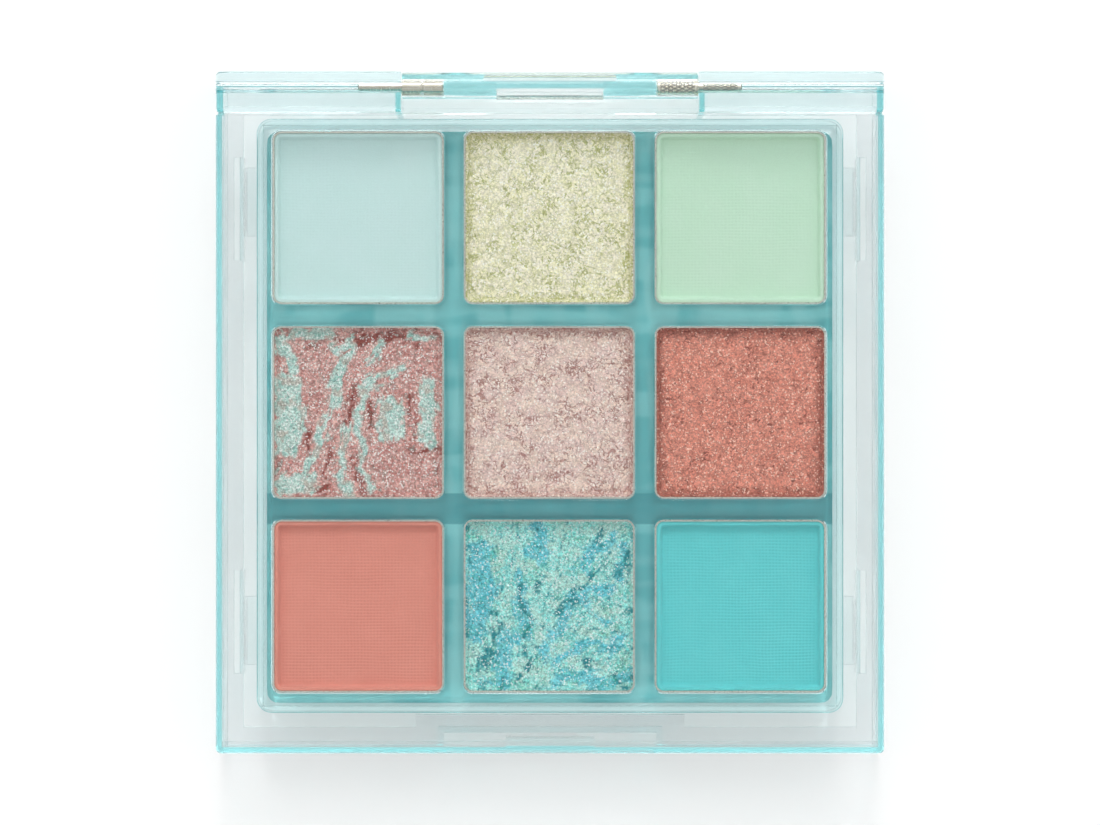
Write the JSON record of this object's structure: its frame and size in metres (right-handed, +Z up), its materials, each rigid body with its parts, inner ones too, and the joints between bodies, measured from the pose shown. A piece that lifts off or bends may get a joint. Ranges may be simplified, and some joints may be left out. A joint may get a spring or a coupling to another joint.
{
  "type": "eyeshadow palette",
  "caption": "Square see-through eyeshadow palette with a hinged snap lid over a tray of pressed-powder pans in mint, rose, coral and teal.",
  "frame": {"origin": "centre of the case's outline, on the surface that the palette stands on", "axes": "+Z up through the closed lid, +Y towards the hinge, +X to the right seen with the hinge at the back"},
  "size_m": [0.09, 0.0918, 0.0128],
  "materials": {
    "clear_base": "clear polystyrene tinted aqua",
    "clear_lid": "clear polystyrene tinted aqua",
    "clear_tray": "clear polystyrene tinted aqua",
    "steel_pin": "bright, straight knurled",
    "label_print": "smooth printed film",
    "glue": "set hot-melt glue",
    "pan_metal": "bright drawn aluminium",
    "powder_pale_aqua": "matte pressed powder",
    "powder_champagne_glitter": "pressed glitter",
    "powder_soft_mint": "matte pressed powder",
    "powder_rose_mint_marble": "pressed marbled shimmer",
    "powder_rose_glitter": "pressed glitter",
    "powder_copper_rose": "pressed metallic shimmer",
    "powder_coral": "matte pressed powder",
    "powder_teal_marble": "pressed marbled shimmer",
    "powder_turquoise": "matte pressed powder"
  },
  "bodies": {
    "base": {"base_shell": "clear_base", "pan_tray": "clear_tray", "tray_label": "label_print", "pan_adhesive": "glue", "pan_back_left": "pan_metal", "pan_back_centre": "pan_metal", "pan_back_right": "pan_metal", "pan_middle_left": "pan_metal", "pan_middle_centre": "pan_metal", "pan_middle_right": "pan_metal", "pan_front_left": "pan_metal", "pan_front_centre": "pan_metal", "pan_front_right": "pan_metal", "powder_pale_aqua": "powder_pale_aqua", "powder_champagne_glitter": "powder_champagne_glitter", "powder_soft_mint": "powder_soft_mint", "powder_rose_mint_marble": "powder_rose_mint_marble", "powder_rose_glitter": "powder_rose_glitter", "powder_copper_rose": "powder_copper_rose", "powder_coral": "powder_coral", "powder_teal_marble": "powder_teal_marble", "powder_turquoise": "powder_turquoise"},
    "lid": {"lid": "clear_lid", "hinge_pin_left": "steel_pin", "hinge_pin_right": "steel_pin"}
  },
  "joints": [
    {"name": "lid_hinge", "type": "hinge", "parent": "base", "child": "lid", "pos_m": [0, 0.0439, 0.0108], "axis": [-1, 0, 0], "range_deg": [0, 180]}
  ]
}
